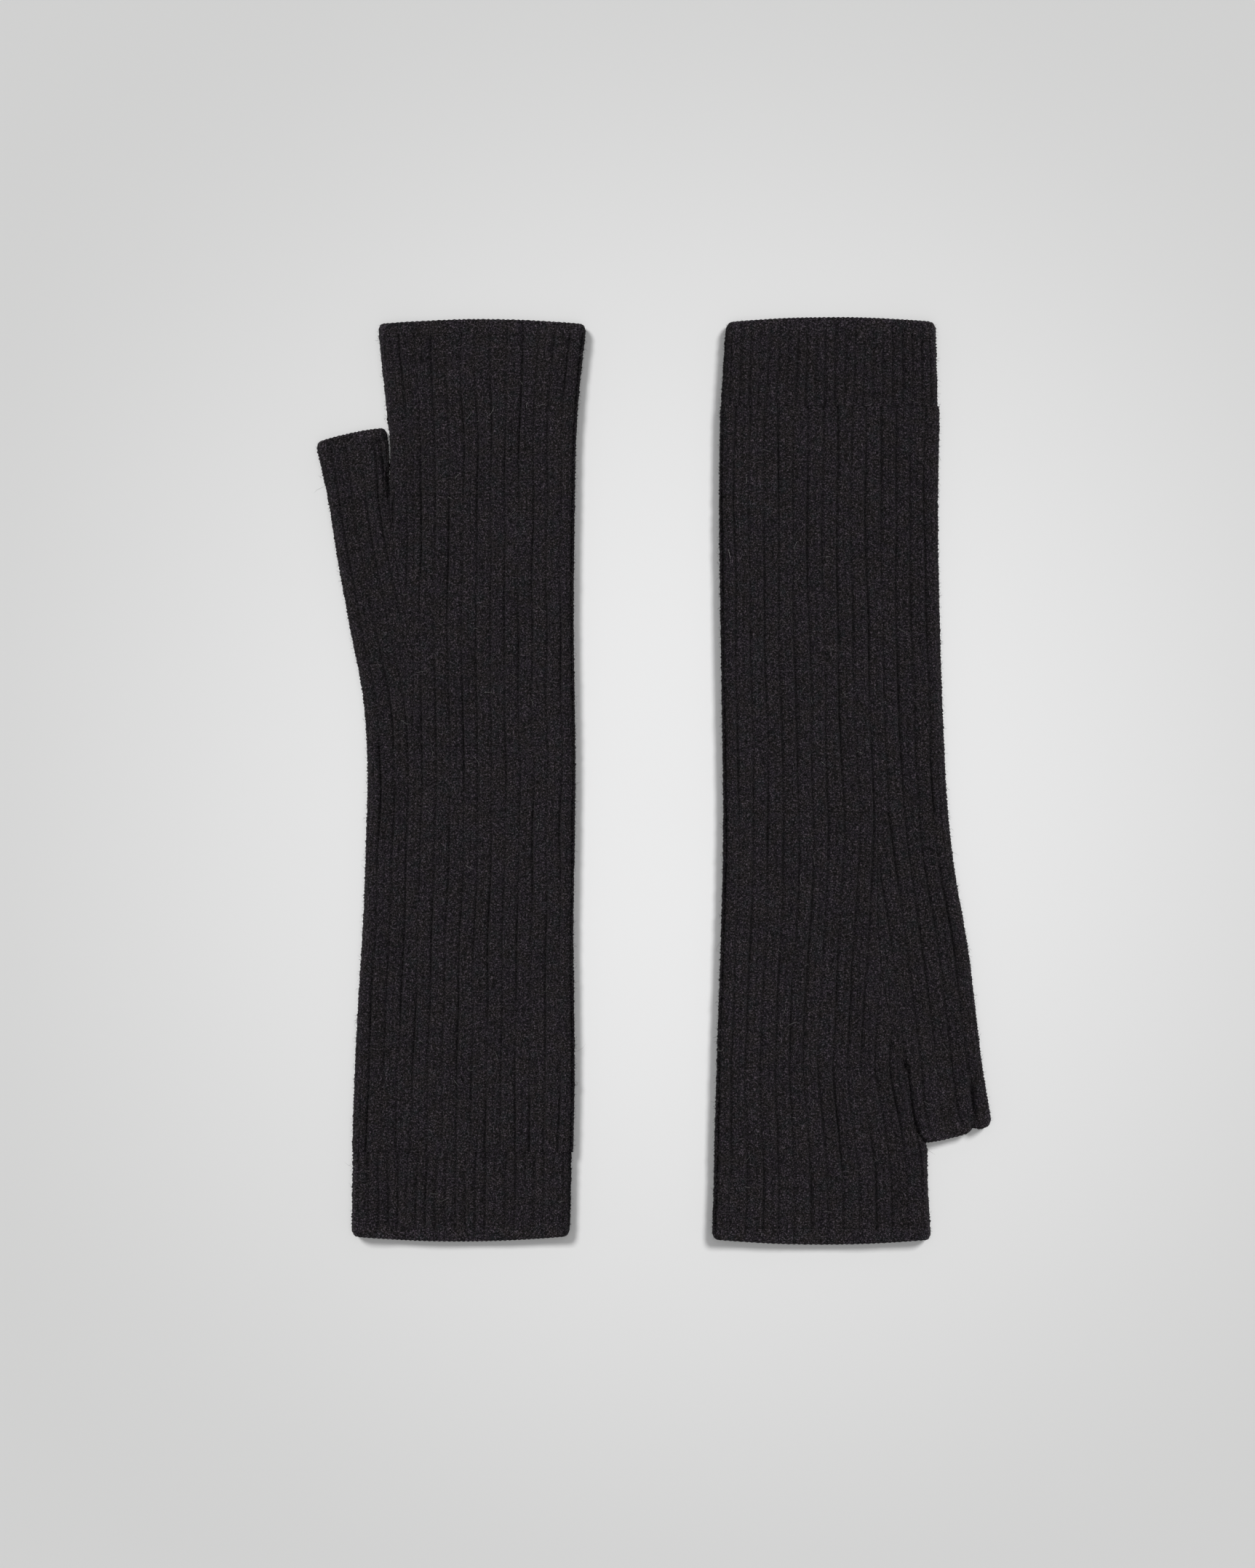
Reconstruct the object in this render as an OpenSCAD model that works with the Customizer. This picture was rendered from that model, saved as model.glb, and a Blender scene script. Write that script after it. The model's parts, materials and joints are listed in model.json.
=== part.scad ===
// A pair of long fingerless gloves in rib knit, lying flat on a table: the right-hand glove with
// its fingers away from the front, the left-hand glove beside it the other way round.
// Each glove is drawn in its own frame, +Y from the cuff edge towards the fingers, -X towards the
// thumb and +Z up from the table, and is then laid in place. Lengths are in millimetres.

/* [Knit] */
// Height of a glove lying flat, both layers and the air between them
loft = 10; // [9:0.5:12]
// Thickness of the rib knit
knit = 2.2; // [1.8:0.1:2.4]
// Width of the plain band knitted at each opening
welt = 6; // [4:0.5:8]
// How far an opening's edge bows out between its corners
bow = 2.2; // [1:0.1:3]
// How far an opening's corners are rounded off
corner = 2.4; // [1:0.1:3]

/* [Glove] */
// Length of the fine rib cuff, measured from its edge
cuff_end = 34; // [30:1:40]
// Distance from the cuff edge to the wrist
wrist = 205; // [200:1:210]
// Thickness of the linked seam inside the little-finger edge
seam_d = 1.6; // [1.2:0.1:2]

/* [Fit] */
// Gap left between two sections that bend or slide against each other
gap = 0.3; // [0.2:0.05:0.5]

/* [Pair] */
// Middle of the right-hand glove's cuff, left of the middle of the pair
right_x = 73.4; // [65:0.1:80]
// Middle of the left-hand glove's cuff, right of the middle of the pair
left_x = 67.2; // [65:0.1:80]
// Cuff edge of the right-hand glove, in front of the middle of the pair
right_y = 174.8; // [170:0.1:180]
// Cuff edge of the left-hand glove, behind the middle of the pair
left_y = 176; // [170:0.1:180]

/* [Hidden] */
// Outline of each glove: [distance from the cuff edge, thumb-side edge, little-finger edge].
// SIDES runs from the cuff to the fork of the thumb, and FINGERS from the fork to the finger opening.
RIGHT_SIDES = [[0, -41.5, 41.5], [34, -41, 42.5], [60, -40.5, 43], [110, -37.5, 42.5], [150, -36, 43],
    [190, -35.5, 43], [205, -37, 43], [235, -42, 42.5], [265, -47.5, 43], [283, -50.5, 43]];
RIGHT_FINGERS = [[283, -28, 43], [305, -27.5, 43.5], [320, -29, 44.5], [335, -30.2, 46], [350, -31.5, 47.5]];
LEFT_SIDES = [[0, -40, 40], [34, -41, 42], [70, -40.5, 42.3], [117, -41.2, 41.8], [155, -42.5, 41.2],
    [187, -44.2, 40.8], [205, -46.2, 41], [240, -52, 41.8], [265, -55, 42.7], [285, -57.5, 43.3]];
LEFT_FINGERS = [[285, -31.5, 43.3], [312, -35.5, 44], [330, -36.5, 44.3], [352, -38, 45.2]];
// Line where the thumb gusset is knitted to the palm: [distance from the cuff edge, place across]
RIGHT_GUSSET = [[205, -20], [225, -19], [283, -28.6]];
LEFT_GUSSET = [[205, -18], [235, -17.5], [257, -20], [285, -32.2]];
// Corners of the thumb's opening, outer corner first: [across, distance from the cuff edge]
RIGHT_THUMB = [[-55, 303], [-29.3, 308.5]];
LEFT_THUMB = [[-61.2, 306.5], [-37, 314]];
// Edges of the thumb where it leaves the palm: [outer, inner], across
RIGHT_THUMB_ROOT = [-50.5, -29.2];
LEFT_THUMB_ROOT = [-57.5, -33];

// One glove as a record: outline below and above the fork, gusset line, thumb opening, thumb root
RIGHT = [RIGHT_SIDES, RIGHT_FINGERS, RIGHT_GUSSET, RIGHT_THUMB, RIGHT_THUMB_ROOT];
LEFT = [LEFT_SIDES, LEFT_FINGERS, LEFT_GUSSET, LEFT_THUMB, LEFT_THUMB_ROOT];

// Loops of a plain band from its rounded end inwards: each loop's share of the corner's length,
// of the corner's rounding and of the bow
ROUNDING = [[0, 1, 1], [0.3, 0.3, 0.8], [1, 0, 0.5]];
// Share of the thumb's length where its opening starts to round
THUMB_ROUNDING = 0.9;
// How far the seam is sunk into the knit
SEAM_SUNK = 0.16;

ARC_STEPS = 6;
FLAT_STEPS = 4;
SEAM_SIDES = 8;
YARN = [0.15, 0.15, 0.16];
WELT_YARN = [0.2, 0.2, 0.21];
CUFF_YARN = [0.12, 0.12, 0.13];
GUSSET_YARN = [0.18, 0.17, 0.18];
SEAM_YARN = [0.3, 0.3, 0.31];

// Where the thumb leaves the palm, the fork, and where the finger opening's edge is
function fork(glove) = glove[1][0][0];
function tip(glove) = glove[1][len(glove[1]) - 1][0];

// Edge column of an outline table at a distance from the cuff edge, in straight lines between rows
function across(table, column, y) = lookup(y, [for (row = table) [row[0], row[column]]]);

// The two side points of a glove at a distance from the cuff edge, drawn in by inset at both ends
function sides_at(table, y, inset = 0) =
    [[across(table, 1, y) + inset, y], [across(table, 2, y) - inset, y]];

// Distances from the cuff edge for the loops between two places, with every table row between them
function stops(table, y0, y1) =
    concat([y0], [for (row = table) if (row[0] > y0 + 1 && row[0] < y1 - 1) row[0]], [y1]);

// Flattened tube profile as [along, height] points: a half-round at each side and flats between.
// length is from side to side, and wall is how far inside the outer skin the profile runs.
function half_round(centre, wall, start) =
    [for (k = [0:ARC_STEPS])
        [centre + (loft / 2 - wall) * cos(start + 180 * k / ARC_STEPS),
            loft / 2 + (loft / 2 - wall) * sin(start + 180 * k / ARC_STEPS)]];
function flat_run(from, to, height) =
    [for (k = [1:FLAT_STEPS - 1]) [from + (to - from) * k / FLAT_STEPS, height]];
function tube_profile(length, wall) = concat(
    half_round(length - loft / 2, wall, -90),
    flat_run(length - loft / 2, loft / 2, loft - wall),
    half_round(loft / 2, wall, 90),
    flat_run(loft / 2, length - loft / 2, wall));

// A profile stood up across the glove from side point a to side point b, its middle bowed along Y
function stand(profile, a, b, bulge) =
    let (length = norm(b - a), along = (b - a) / length)
    [for (p = profile)
        [a[0] + along[0] * p[0],
            a[1] + along[1] * p[0] + bulge * (1 - pow(2 * p[0] / length - 1, 2)),
            p[1]]];

// Faces of the surface between rings of count points each, ring after ring, from point first on.
// turned is true where the surface faces the inside of the tube.
function skin_faces(rings, count, first, turned) =
    [for (i = [0:rings - 2], j = [0:count - 1])
        let (j2 = (j + 1) % count,
            p = first + i * count + j, q = first + i * count + j2,
            r = p + count, s = q + count)
        each turned ? [[p, r, q], [q, r, s]] : [[p, q, r], [q, s, r]]];

// Ring of faces that joins the outer and the inner skin at one end of a tube.
// turned is true at the end that faces the fingers.
function rim_faces(count, outer, inner, turned) =
    [for (j = [0:count - 1])
        let (j2 = (j + 1) % count)
        each turned
            ? [[outer + j, outer + j2, inner + j], [outer + j2, inner + j2, inner + j]]
            : [[outer + j, inner + j, outer + j2], [outer + j2, inner + j, inner + j2]]];

// Knitted tube: spans is a list of [side point a, side point b, bulge], one for each loop along it
module knit_tube(spans) {
    rings = len(spans);
    count = len(tube_profile(1, 0));
    outer = [for (s = spans) each stand(tube_profile(norm(s[1] - s[0]), 0), s[0], s[1], s[2])];
    inner = [for (s = spans) each stand(tube_profile(norm(s[1] - s[0]), knit), s[0], s[1], s[2])];
    polyhedron(points = concat(outer, inner), faces = concat(
        skin_faces(rings, count, 0, false),
        skin_faces(rings, count, rings * count, true),
        rim_faces(count, 0, rings * count, false),
        rim_faces(count, (rings - 1) * count, (2 * rings - 1) * count, true)));
}

// Faces that close an outline of count points from point first on. The outline goes out along one
// side and comes back along the other, so the faces are a strip between its two halves.
function cap_faces(count, first, turned) =
    [for (j = [0:count / 2 - 2])
        let (p = first + j, q = p + 1, r = first + count - 1 - j, s = r - 1)
        each turned ? [[p, q, r], [q, s, r]] : [[p, r, q], [q, r, s]]];

// Solid swept through closed outlines, each an even number of points, one for each place along it
module sweep(outlines) {
    rings = len(outlines);
    count = len(outlines[0]);
    polyhedron(points = [for (ring = outlines) each ring], faces = concat(
        skin_faces(rings, count, 0, false),
        cap_faces(count, 0, false),
        cap_faces(count, (rings - 1) * count, true)));
}

// Closed outline of the sheet round the little-finger edge, from the gusset line at place cut
function palm_outline(length, cut) = concat(
    [[cut, 0]], half_round(length - loft / 2, 0, -90), [[cut, loft]],
    [[cut, loft - knit]],
    [for (k = [ARC_STEPS:-1:0]) half_round(length - loft / 2, knit, -90)[k]],
    [[cut, knit]]);

// Closed outline of the sheet round the thumb-side edge, up to the gusset line at place cut
function gusset_outline(cut) = concat(
    [[cut, loft]], half_round(loft / 2, 0, 90), [[cut, 0]],
    [[cut, knit]],
    [for (k = [ARC_STEPS:-1:0]) half_round(loft / 2, knit, 90)[k]],
    [[cut, loft - knit]]);

// Side points of the loops from y0 to y1 along one outline table, with no bow
function plain_spans(table, y0, y1) =
    [for (y = stops(table, y0, y1)) concat(sides_at(table, y), [0])];

// Places of the loops along the palm, from the wrist to the fork
function palm_stops(glove) = stops(glove[0], wrist + gap, fork(glove));

// Rod along the inside of the little-finger edge, from y0 to y1, sunk a little into the knit
module linked_seam(table, y0, y1) {
    sweep([for (y = stops(table, y0, y1))
        let (middle = across(table, 2, y) - knit - seam_d / 2 + SEAM_SUNK)
        [for (k = [0:SEAM_SIDES - 1])
            [middle + seam_d / 2 * cos(360 * k / SEAM_SIDES), y,
                loft / 2 + seam_d / 2 * sin(360 * k / SEAM_SIDES)]]]);
}

// Loops at an opening whose corners are rounded and whose edge is bowed, from the edge inwards.
// way is 1 at the finger opening and -1 at the cuff edge.
function rounded_spans(table, edge, way) =
    [for (r = ROUNDING)
        concat(sides_at(table, edge - way * (bow + corner * r[0]), corner * r[1]), [way * bow * r[2]])];

// Plain band at the cuff edge, its corners rounded and its edge bowed towards the arm
module cuff_welt(glove) {
    knit_tube(concat(rounded_spans(glove[0], 0, -1), [concat(sides_at(glove[0], welt), [0])]));
}

// Fine one-by-one rib that grips the forearm
module cuff_rib(glove) {
    knit_tube(plain_spans(glove[0], welt, cuff_end));
}

// Long wide-rib tube over the forearm
module sleeve(glove) {
    knit_tube(plain_spans(glove[0], cuff_end + gap, wrist));
}

// Seam that closes the sleeve along the little-finger edge
module sleeve_seam(glove) {
    linked_seam(glove[0], cuff_end + gap, wrist);
}

// Back and palm of the hand in one sheet, wrapped round the little-finger edge
module palm(glove) {
    sweep([for (y = palm_stops(glove))
        let (s = sides_at(glove[0], y), cut = lookup(y, glove[2]) - s[0][0])
        stand(palm_outline(s[1][0] - s[0][0], cut), s[0], s[1], 0)]);
}

// Wedge that widens the glove for the root of the thumb
module thumb_gusset(glove) {
    sweep([for (y = palm_stops(glove))
        let (s = sides_at(glove[0], y), cut = lookup(y, glove[2]) - s[0][0])
        stand(gusset_outline(cut), s[0], s[1], 0)]);
}

// Tube round the roots of the four fingers
module finger_band(glove) {
    knit_tube(plain_spans(glove[1], fork(glove), tip(glove) - welt));
}

// Plain band at the finger opening
module hand_welt(glove) {
    edge = rounded_spans(glove[1], tip(glove), 1);
    knit_tube(concat([concat(sides_at(glove[1], tip(glove) - welt), [0])],
        [for (i = [len(edge) - 1:-1:0]) edge[i]]));
}

// Seam that closes the hand along the little-finger edge
module hand_seam(glove) {
    linked_seam(concat(glove[0], [for (row = glove[1]) if (row[0] > fork(glove)) row]),
        wrist + gap, tip(glove) - welt);
}

// Side points of the thumb, a share of the way from its root to its opening
function thumb_span(glove, share, inset = 0) =
    let (root = [[glove[4][0], fork(glove) + gap], [glove[4][1], fork(glove) + gap]],
        a = root[0] + (glove[3][0] - root[0]) * share,
        b = root[1] + (glove[3][1] - root[1]) * share,
        along = (b - a) / norm(b - a))
    [a + along * inset, b - along * inset];
// Share of the thumb's length where its plain band starts
function thumb_welt_share(glove) = 1 - welt / (glove[3][0][1] - fork(glove));

// Short tube round the root of the thumb
module thumb(glove) {
    share = thumb_welt_share(glove);
    knit_tube([concat(thumb_span(glove, 0), [0]),
        concat(thumb_span(glove, share / 2), [0]),
        concat(thumb_span(glove, share), [0])]);
}

// Plain band at the thumb's opening
module thumb_welt(glove) {
    share = thumb_welt_share(glove);
    knit_tube([concat(thumb_span(glove, share), [0]),
        concat(thumb_span(glove, THUMB_ROUNDING), [0]),
        concat(thumb_span(glove, 1, corner / 2), [0])]);
}

// The right-hand glove lies with its fingers away from the front
module right_glove() {
    translate([-right_x, -right_y, 0]) children();
}

// The left-hand glove lies beside it, turned half round
module left_glove() {
    translate([left_x, left_y, 0]) rotate([0, 0, 180]) children();
}

module right_cuff_welt() { color(WELT_YARN) right_glove() cuff_welt(RIGHT); }
module right_cuff_rib() { color(CUFF_YARN) right_glove() cuff_rib(RIGHT); }
module right_sleeve() { color(YARN) right_glove() sleeve(RIGHT); }
module right_sleeve_seam() { color(SEAM_YARN) right_glove() sleeve_seam(RIGHT); }
module right_palm() { color(YARN) right_glove() palm(RIGHT); }
module right_thumb_gusset() { color(GUSSET_YARN) right_glove() thumb_gusset(RIGHT); }
module right_finger_band() { color(YARN) right_glove() finger_band(RIGHT); }
module right_hand_welt() { color(WELT_YARN) right_glove() hand_welt(RIGHT); }
module right_hand_seam() { color(SEAM_YARN) right_glove() hand_seam(RIGHT); }
module right_thumb() { color(YARN) right_glove() thumb(RIGHT); }
module right_thumb_welt() { color(WELT_YARN) right_glove() thumb_welt(RIGHT); }
module left_cuff_welt() { color(WELT_YARN) left_glove() cuff_welt(LEFT); }
module left_cuff_rib() { color(CUFF_YARN) left_glove() cuff_rib(LEFT); }
module left_sleeve() { color(YARN) left_glove() sleeve(LEFT); }
module left_sleeve_seam() { color(SEAM_YARN) left_glove() sleeve_seam(LEFT); }
module left_palm() { color(YARN) left_glove() palm(LEFT); }
module left_thumb_gusset() { color(GUSSET_YARN) left_glove() thumb_gusset(LEFT); }
module left_finger_band() { color(YARN) left_glove() finger_band(LEFT); }
module left_hand_welt() { color(WELT_YARN) left_glove() hand_welt(LEFT); }
module left_hand_seam() { color(SEAM_YARN) left_glove() hand_seam(LEFT); }
module left_thumb() { color(YARN) left_glove() thumb(LEFT); }
module left_thumb_welt() { color(WELT_YARN) left_glove() thumb_welt(LEFT); }

right_cuff_welt();
right_cuff_rib();
right_sleeve();
right_sleeve_seam();
right_palm();
right_thumb_gusset();
right_finger_band();
right_hand_welt();
right_hand_seam();
right_thumb();
right_thumb_welt();
left_cuff_welt();
left_cuff_rib();
left_sleeve();
left_sleeve_seam();
left_palm();
left_thumb_gusset();
left_finger_band();
left_hand_welt();
left_hand_seam();
left_thumb();
left_thumb_welt();
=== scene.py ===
import json
import math

import bpy
import numpy as np
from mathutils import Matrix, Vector

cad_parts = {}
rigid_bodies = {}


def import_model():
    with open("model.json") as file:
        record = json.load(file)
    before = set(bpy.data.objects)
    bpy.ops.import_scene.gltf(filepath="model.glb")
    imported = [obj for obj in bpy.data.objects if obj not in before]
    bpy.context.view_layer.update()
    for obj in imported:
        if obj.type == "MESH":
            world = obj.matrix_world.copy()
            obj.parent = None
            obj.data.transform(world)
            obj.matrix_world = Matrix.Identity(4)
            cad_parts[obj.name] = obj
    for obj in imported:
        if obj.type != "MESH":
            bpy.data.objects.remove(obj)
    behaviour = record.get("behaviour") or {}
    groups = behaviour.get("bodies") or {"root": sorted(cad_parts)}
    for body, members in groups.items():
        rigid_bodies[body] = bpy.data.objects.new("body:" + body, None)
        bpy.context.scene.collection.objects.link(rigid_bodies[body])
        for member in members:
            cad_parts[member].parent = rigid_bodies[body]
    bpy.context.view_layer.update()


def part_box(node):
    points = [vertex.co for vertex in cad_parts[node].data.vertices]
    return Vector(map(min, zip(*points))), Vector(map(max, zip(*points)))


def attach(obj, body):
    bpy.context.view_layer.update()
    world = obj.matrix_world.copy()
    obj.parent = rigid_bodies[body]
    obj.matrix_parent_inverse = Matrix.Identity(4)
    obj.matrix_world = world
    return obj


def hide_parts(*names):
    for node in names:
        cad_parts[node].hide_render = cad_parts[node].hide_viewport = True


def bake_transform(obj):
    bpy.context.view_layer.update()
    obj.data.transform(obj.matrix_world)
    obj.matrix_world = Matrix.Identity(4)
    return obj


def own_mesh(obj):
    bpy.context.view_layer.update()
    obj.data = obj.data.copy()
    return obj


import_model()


# ---- Studio ----------------------------------------------------------------------------------
# The pair lies on pale grey paper, and is seen from straight above. The paper is painted lighter
# in its middle than at its edges, a painted pool of light, and glows a little, a painted glow that
# lifts its shadows. Each glove has a key light of its own beyond its outer upper corner, so its
# soft shadow falls towards the middle and the lower edge. A weak overhead light fills in.

MM = 0.001
in_scene = bpy.context.scene.collection.objects
VIEW_HEIGHT = 596.6 * MM              # of what the camera takes in
VIEW_CENTRE = (-10.1 * MM, -1.2 * MM)
LENS, SENSOR = 120.0, 36.0
BACKDROP_LIGHT, BACKDROP_SEEN = 0.16, 0.62

camera = bpy.data.objects.new("camera", bpy.data.cameras.new("camera"))
camera.data.lens, camera.data.sensor_width = LENS, SENSOR
camera.data.clip_end = 30.0
camera.location = (*VIEW_CENTRE, VIEW_HEIGHT * LENS / SENSOR)
in_scene.link(camera)
bpy.context.scene.camera = camera
bpy.context.scene.view_settings.view_transform = "Standard"

world = bpy.data.worlds.new("studio")
bpy.context.scene.world = world
world.use_nodes = True
# The backdrop looks as pale as the paper, and lights the gloves only weakly
path = world.node_tree.nodes.new("ShaderNodeLightPath")
glow = world.node_tree.nodes.new("ShaderNodeMapRange")
glow.inputs["To Min"].default_value = BACKDROP_LIGHT
glow.inputs["To Max"].default_value = BACKDROP_SEEN
backdrop = world.node_tree.nodes["Background"]
backdrop.inputs["Color"].default_value = (0.97, 0.98, 1.0, 1)
world.node_tree.links.new(path.outputs["Is Camera Ray"], glow.inputs["Value"])
world.node_tree.links.new(glow.outputs["Result"], backdrop.inputs["Strength"])

overhead = bpy.data.objects.new("overhead_box", bpy.data.lights.new("overhead_box", "AREA"))
overhead.data.size, overhead.data.energy = 1.6, 13.0
overhead.location = (0, 0, 2.4)
in_scene.link(overhead)

KEY_SLOPE = 0.48                      # how far a key light stands off, for each metre of height
KEY_STRENGTH, KEY_SPREAD = 2.60, math.radians(15)
MIDDLE = -3.1 * MM                    # line half way between the gloves, where the keys' floors meet
PAPER_REACH = 4.0
# Painted pool of light: the paper's colour is lighter round its middle and darker towards its edges
PAPER_LIT_INNER, PAPER_SHADED_OUTER = (0.667, 0.667, 0.667, 1), (0.513, 0.513, 0.509, 1)
LIGHT_POOL_CENTRE, LIGHT_POOL_FALL = -0.02, (0.03, 0.36)
PAPER_PAINTED_GLOW = 0.204                    # painted glow: light the paper gives off of its own, which lifts its shadows

paper_look = bpy.data.materials.new("seamless_paper")
paper_look.use_nodes = True
nodes, links = paper_look.node_tree.nodes, paper_look.node_tree.links
shader = nodes["Principled BSDF"]
shader.inputs["Roughness"].default_value = 0.9
shader.inputs["Specular IOR Level"].default_value = 0.15
# Painted pool of light: the paper's colour darkens with distance from the middle
where = nodes.new("ShaderNodeTexCoord")
shifted = nodes.new("ShaderNodeMapping")
shifted.inputs["Location"].default_value = (LIGHT_POOL_CENTRE, 0, 0)
distance = nodes.new("ShaderNodeVectorMath")
distance.operation = "LENGTH"
pool_fall = nodes.new("ShaderNodeMapRange")
pool_fall.interpolation_type = "SMOOTHSTEP"
pool_fall.inputs["From Min"].default_value, pool_fall.inputs["From Max"].default_value = LIGHT_POOL_FALL
painted_pool = nodes.new("ShaderNodeMix")
painted_pool.data_type = "RGBA"
painted_pool.inputs["A"].default_value = PAPER_LIT_INNER
painted_pool.inputs["B"].default_value = PAPER_SHADED_OUTER
links.new(where.outputs["Object"], shifted.inputs["Vector"])
links.new(shifted.outputs["Vector"], distance.inputs[0])
links.new(distance.outputs["Value"], pool_fall.inputs["Value"])
links.new(pool_fall.outputs["Result"], painted_pool.inputs["Factor"])
links.new(painted_pool.outputs["Result"], shader.inputs["Base Color"])
# Painted glow: the paper gives off light of its own in the same painted colours
links.new(painted_pool.outputs["Result"], shader.inputs["Emission Color"])
shader.inputs["Emission Strength"].default_value = PAPER_PAINTED_GLOW
paper_look.cycles.emission_sampling = "NONE"

lit_by = {}
for side, outward in (("right", -1), ("left", 1)):
    paper_mesh = bpy.data.meshes.new(side + "_paper")
    low_x, high_x = sorted((MIDDLE, outward * PAPER_REACH))
    paper_mesh.from_pydata([(low_x, -PAPER_REACH, 0), (high_x, -PAPER_REACH, 0),
                            (high_x, PAPER_REACH, 0), (low_x, PAPER_REACH, 0)],
                           [], [(0, 1, 2, 3)])
    paper_mesh.materials.append(paper_look)
    paper = bpy.data.objects.new(side + "_paper", paper_mesh)
    in_scene.link(paper)
    lit_by[side] = bpy.data.collections.new(side + "_key_lights_this")
    lit_by[side].objects.link(paper)
    key = bpy.data.objects.new(side + "_key", bpy.data.lights.new(side + "_key", "SUN"))
    key.data.energy, key.data.angle = KEY_STRENGTH, KEY_SPREAD
    towards_key = Vector((outward * KEY_SLOPE, KEY_SLOPE, 1))
    key.rotation_euler = towards_key.to_track_quat("Z", "Y").to_euler()
    key.light_linking.receiver_collection = lit_by[side]
    in_scene.link(key)


# ---- Sleeve ----------------------------------------------------------------------------------
# A long tube in two-by-one rib: ribs of two knit columns, parted by a purl column that sinks into
# a groove. It is machine-knitted in soft black wool and lies flattened. A glove's own frame is in
# millimetres: y from the cuff edge to the fingers, x away from the thumb.

LOFT = 8.8                        # height of the folded edges over the table
FOLD = (2.8, LOFT / 2)            # half axes of the round of a fold, sideways and upwards
SAG, SAG_ROOM = 1.9, 17.0         # how far the upper layer sinks, and how far in from a fold
WALL = 1.9                        # thickness of the knit
ROW = 1.27                        # height of one row of stitches
CUFF_END, SLEEVE_TOP = 34.0, 188.0
SLEEVE_STITCHES = 48              # in each layer
INNER_ROWS = 24
STRAY = 0.2                       # how far a column of stitches strays sideways
BILLOW = 0.35                     # how much the sunk layer rises and falls
TUFT = 0.13                       # how much the fluffy surface varies from point to point
TUCK = 0.3                        # how far a border is tucked in where it has become a fold
BOW = 2.2                         # how far the ends of an opening lag behind its middle
BULGE = 1.0                       # how far the thumb's opening stands out in its middle
BORDER = 0.6                      # how high an open sheet's border turns down to its neighbour
CORNER = 2.6                      # radius of an opening's corners
STEADY = (-12, -8, -4, 0, 4, 8, 12)       # distances over which a stitch's width is averaged

# turn is -1 on the glove that is laid the other way round, and noise seeds what varies between the
# two. An outline row is a distance from the cuff edge, the thumb-side edge there and the
# little-finger edge there. gusset is the line where the thumb's knit meets the palm's, and thumb
# the outer and the inner corner of its opening. A crease runs from one point to another, x before
# y, and has a depth and a half width. A notch in the thumb's opening has a place across and along,
# a depth and a half width.
GLOVES = {
    "right": {
        "turn": 1, "fork": 283.0, "tip": 350.0, "noise": 11,
        "sides": [(0, -41.6, 41.2), (34, -41.1, 42.4), (60, -40.4, 43), (90, -39.0, 42.8),
                  (120, -37.1, 42.5), (150, -36.0, 43), (180, -35.4, 43.3), (205, -36.9, 43.0),
                  (234, -42.2, 42.6), (260, -46.9, 42.8), (283, -50.6, 43.1),
                  (303, -55.2, 43.5)],
        "fingers": [(270, -26.6, 42.9), (283, -27.2, 43.1), (292, -26.9, 43.2),
                    (304, -26.8, 43.5), (312, -27.8, 43.9), (320, -28.7, 44.5),
                    (335, -30.1, 45.9), (350, -31.5, 47.6)],
        "cuff": [(0, -41.6, 41.2), (34, -41.0, 41.8)],
        "gusset": [(188, -18.6), (205, -18.0), (224, -18.4), (235, -20.5), (247, -22.6),
                   (268, -26.0), (283, -27.2), (292, -27.3), (302, -27.6), (308.5, -28.2)],
        "thumb": {"outer": 303.0, "inner": 308.5},
        "creases": [(-26.8, 284, -30.6, 303, 3.0, 1.3), (-20.0, 232, -28.0, 272, 0.5, 1.6)],
    },
    "left": {
        "turn": -1, "fork": 285.0, "tip": 352.0, "noise": 29,
        "sides": [(0, -39.8, 39.8), (34, -41.0, 41.8), (70, -40.5, 42.3), (117, -41.2, 41.8),
                  (155, -42.5, 41.2), (187, -44.2, 40.8), (205, -46.1, 40.9), (240, -51.9, 41.8),
                  (265, -55.0, 42.7), (285, -57.4, 43.3), (308, -61.4, 43.8)],
        "fingers": [(272, -27.0, 42.9), (285, -28.8, 43.3), (292, -30.7, 43.5),
                    (309.5, -33.9, 44.0), (313.5, -36.1, 44.1), (322, -36.4, 44.2),
                    (335, -36.9, 44.5), (352, -38.0, 45.2)],
        "cuff": [(0, -39.8, 39.8), (34, -40.3, 41.6)],
        "gusset": [(188, -17.6), (205, -17.5), (235, -17.9), (257, -20.4), (272, -24.2),
                   (285, -28.2), (292, -28.6), (309, -31.9), (313.5, -34.6)],
        "thumb": {"outer": 306.5, "inner": 313.5},
        "creases": [(-28.8, 290, -32.9, 311, 2.0, 1.0), (-19.5, 274, -27.5, 284, 1.2, 1.3),
                    (-53.0, 287, -53.4, 309, 2.4, 1.1)],
        "notch": (-53.8, 308.0, 1.7, 1.2),
    },
}
for side, glove in GLOVES.items():
    low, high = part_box(side + "_cuff_welt")
    glove["origin"] = ((low.x + high.x) / 2, low.y if glove["turn"] > 0 else high.y)


def curve(rows, column, y):
    """Smooth line through a table: between two rows a cubic, whose slope at each row is that of
    the straight line between the row's two neighbours."""
    at, value = np.array(rows, float)[:, 0], np.array(rows, float)[:, column]
    slope = np.gradient(value, at)
    i = np.clip(np.searchsorted(at, y, side="right") - 1, 0, len(at) - 2)
    gap = at[i + 1] - at[i]
    t = np.clip((y - at[i]) / gap, 0, 1)
    rise = value[i] * (2 * t**3 - 3 * t**2 + 1) + value[i + 1] * (3 * t**2 - 2 * t**3)
    return rise + gap * (slope[i] * (t**3 - 2 * t**2 + t) + slope[i + 1] * (t**3 - t**2))


def ease(t):
    """0 below 0, 1 above 1, and a smooth step between."""
    t = np.clip(t, 0, 1)
    return t * t * (3 - 2 * t)


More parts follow.
